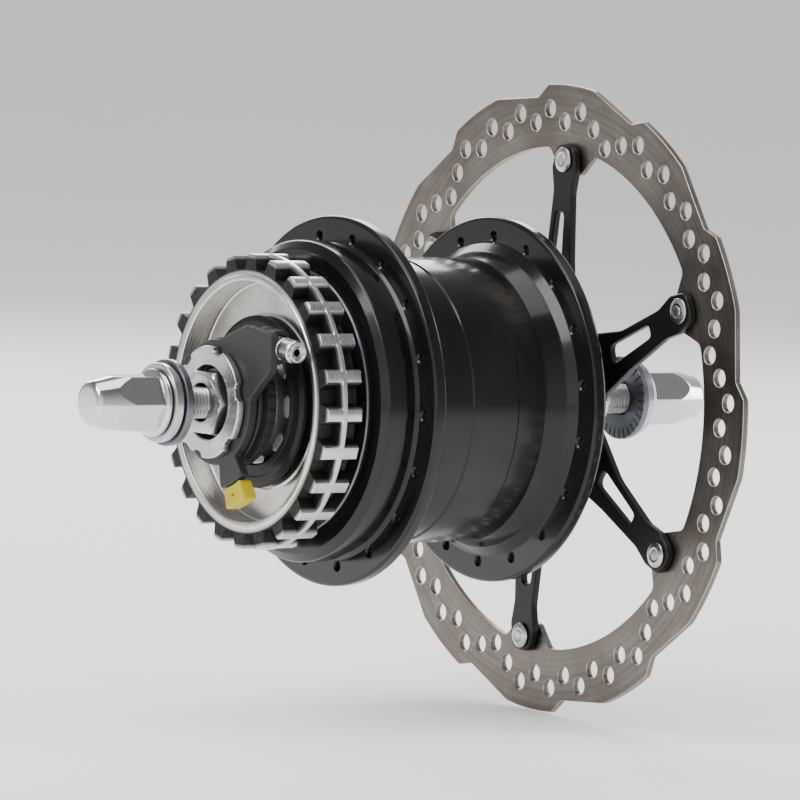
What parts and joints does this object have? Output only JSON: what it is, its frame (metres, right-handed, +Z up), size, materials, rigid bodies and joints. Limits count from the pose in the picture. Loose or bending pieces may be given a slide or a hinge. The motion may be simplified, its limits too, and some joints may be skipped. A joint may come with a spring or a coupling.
{
  "type": "bicycle hub gear",
  "caption": "Internal-gear rear hub with belt sprocket, brake rotor, shift pulley and cap nuts on a solid axle.",
  "frame": {"origin": "on the axle, midway between the two locknut faces that the dropouts sit against, which is also the middle of the whole hub", "axes": "+Y along the axle towards the left, non-drive side, so the belt sprocket is at -Y; +X forwards; +Z up"},
  "size_m": [0.1794, 0.2088, 0.1794],
  "materials": {
    "chrome": "bright chrome plate",
    "bright_steel": "bright, lightly brushed",
    "ground_steel": "ground and oiled",
    "dark_steel": "dark zinc plate",
    "rotor_steel": "ground, heat-tinted brown-grey",
    "shell_black": "gloss black paint over forged alloy",
    "satin_black": "satin black",
    "black_plastic": "moulded, fine grain",
    "black_rubber": "matte",
    "yellow_plastic": "moulded, semi-gloss"
  },
  "bodies": {
    "fixed_axle": {"axle": "ground_steel", "small_sun_pawl": "ground_steel", "large_sun": "ground_steel", "right_cone": "ground_steel", "left_cone": "ground_steel", "left_spacer": "bright_steel", "left_seal": "black_rubber", "right_locknut": "bright_steel", "left_locknut": "bright_steel", "axle_stop_nut": "ground_steel", "return_spring": "bright_steel", "right_nonturn_washer": "dark_steel", "left_nonturn_washer": "dark_steel", "right_washer": "bright_steel", "left_washer": "bright_steel", "right_cap_nut": "chrome", "left_cap_nut": "chrome", "cassette_bracket": "black_plastic", "cable_ferrule": "bright_steel", "setting_mark": "yellow_plastic", "bracket_fixing_ring": "bright_steel"},
    "shell": {"hub_shell": "shell_black", "right_ball_cup": "dark_steel", "left_ball_cup": "ground_steel", "clutch_ratchet_ring": "ground_steel", "rotor_band": "rotor_steel", "rotor_spider": "satin_black", "rotor_rivet_1": "bright_steel", "rotor_rivet_2": "bright_steel", "rotor_rivet_3": "bright_steel", "rotor_rivet_4": "bright_steel", "rotor_rivet_5": "bright_steel", "rotor_rivet_6": "bright_steel", "rotor_lockring": "dark_steel"},
    "ring": {"ring_gear": "ground_steel"},
    "ring_pawl_1": {"ring_pawl_1": "ground_steel"},
    "ring_pawl_2": {"ring_pawl_2": "ground_steel"},
    "sun_pawl": {"large_sun_pawl": "ground_steel"},
    "driver": {"driver": "ground_steel", "belt_sprocket": "bright_steel", "sprocket_snap_ring": "bright_steel", "driver_dust_cap": "satin_black", "driver_seal": "black_rubber"},
    "carrier": {"planet_carrier": "ground_steel", "planet_pin_1": "bright_steel", "planet_pin_2": "bright_steel", "planet_pin_3": "bright_steel"},
    "planet_1": {"planet_1": "ground_steel"},
    "planet_2": {"planet_2": "ground_steel"},
    "planet_3": {"planet_3": "ground_steel"},
    "small_sun": {"small_sun": "ground_steel"},
    "driver_balls": {"driver_ball_retainer": "chrome"},
    "shell_balls": {"shell_ball_retainer": "chrome"},
    "left_balls": {"left_ball_retainer": "chrome"},
    "pulley": {"shift_pulley": "black_plastic", "shift_sleeve": "ground_steel", "cable_fixing_bolt": "bright_steel"}
  },
  "joints": [
    {"name": "shell_spin", "type": "hinge", "parent": "fixed_axle", "child": "shell", "pos_m": [0, 0, 0], "axis": [0, 1, 0], "continuous": true},
    {"name": "ring_spin", "type": "hinge", "parent": "fixed_axle", "child": "ring", "pos_m": [0, 0, 0], "axis": [0, 1, 0], "continuous": true},
    {"name": "driver_spin", "type": "hinge", "parent": "fixed_axle", "child": "driver", "pos_m": [0, 0, 0], "axis": [0, 1, 0], "continuous": true},
    {"name": "carrier_spin", "type": "hinge", "parent": "fixed_axle", "child": "carrier", "pos_m": [0, 0, 0], "axis": [0, 1, 0], "continuous": true},
    {"name": "planet_1_spin", "type": "hinge", "parent": "carrier", "child": "planet_1", "pos_m": [0, 0, 0.021], "axis": [0, 1, 0], "continuous": true},
    {"name": "planet_2_spin", "type": "hinge", "parent": "carrier", "child": "planet_2", "pos_m": [-0.01819, 0, -0.0105], "axis": [0, 1, 0], "continuous": true},
    {"name": "planet_3_spin", "type": "hinge", "parent": "carrier", "child": "planet_3", "pos_m": [0.01819, 0, -0.0105], "axis": [0, 1, 0], "continuous": true},
    {"name": "small_sun_spin", "type": "hinge", "parent": "fixed_axle", "child": "small_sun", "pos_m": [0, 0, 0], "axis": [0, 1, 0], "continuous": true},
    {"name": "driver_balls_spin", "type": "hinge", "parent": "fixed_axle", "child": "driver_balls", "pos_m": [0, 0, 0], "axis": [0, 1, 0], "continuous": true},
    {"name": "shell_balls_spin", "type": "hinge", "parent": "fixed_axle", "child": "shell_balls", "pos_m": [0, 0, 0], "axis": [0, 1, 0], "continuous": true},
    {"name": "left_balls_spin", "type": "hinge", "parent": "fixed_axle", "child": "left_balls", "pos_m": [0, 0, 0], "axis": [0, 1, 0], "continuous": true},
    {"name": "shift_pulley_turn", "type": "hinge", "parent": "fixed_axle", "child": "pulley", "pos_m": [0, -0.058, 0], "axis": [0, 1, 0], "range_deg": [0, 72], "stiffness_Nm_per_rad": 0.05, "springref_deg": -57.3},
    {"name": "ring_pawl_1_tip", "type": "hinge", "parent": "ring", "child": "ring_pawl_1", "pos_m": [0.02505, 0, 0.02102], "axis": [0, 1, 0], "range_deg": [0, 11], "stiffness_Nm_per_rad": 0.0005, "springref_deg": -28.65},
    {"name": "ring_pawl_2_tip", "type": "hinge", "parent": "ring", "child": "ring_pawl_2", "pos_m": [-0.02505, 0, -0.02102], "axis": [0, 1, 0], "range_deg": [0, 11], "stiffness_Nm_per_rad": 0.0005, "springref_deg": -28.65},
    {"name": "sun_pawl_tip", "type": "hinge", "parent": "fixed_axle", "child": "sun_pawl", "pos_m": [0.00414, 0, 0.00347], "axis": [0, 1, 0], "range_deg": [-25, 0], "stiffness_Nm_per_rad": 0.0005, "springref_deg": 28.65}
  ],
  "couplings": [
    {"joint": "ring_spin", "follows": "shell_spin", "ratio": 1},
    {"joint": "driver_spin", "follows": "shell_spin", "ratio": 0.71429},
    {"joint": "carrier_spin", "follows": "shell_spin", "ratio": 0.71429},
    {"joint": "planet_1_spin", "follows": "shell_spin", "ratio": 0.95238},
    {"joint": "planet_2_spin", "follows": "shell_spin", "ratio": 0.95238},
    {"joint": "planet_3_spin", "follows": "shell_spin", "ratio": 0.95238},
    {"joint": "small_sun_spin", "follows": "shell_spin", "ratio": -0.55556},
    {"joint": "driver_balls_spin", "follows": "shell_spin", "ratio": 0.42588},
    {"joint": "shell_balls_spin", "follows": "shell_spin", "ratio": 0.87134},
    {"joint": "left_balls_spin", "follows": "shell_spin", "ratio": 0.60088},
    {"joint": "ring_pawl_2_tip", "follows": "ring_pawl_1_tip", "ratio": 1}
  ]
}
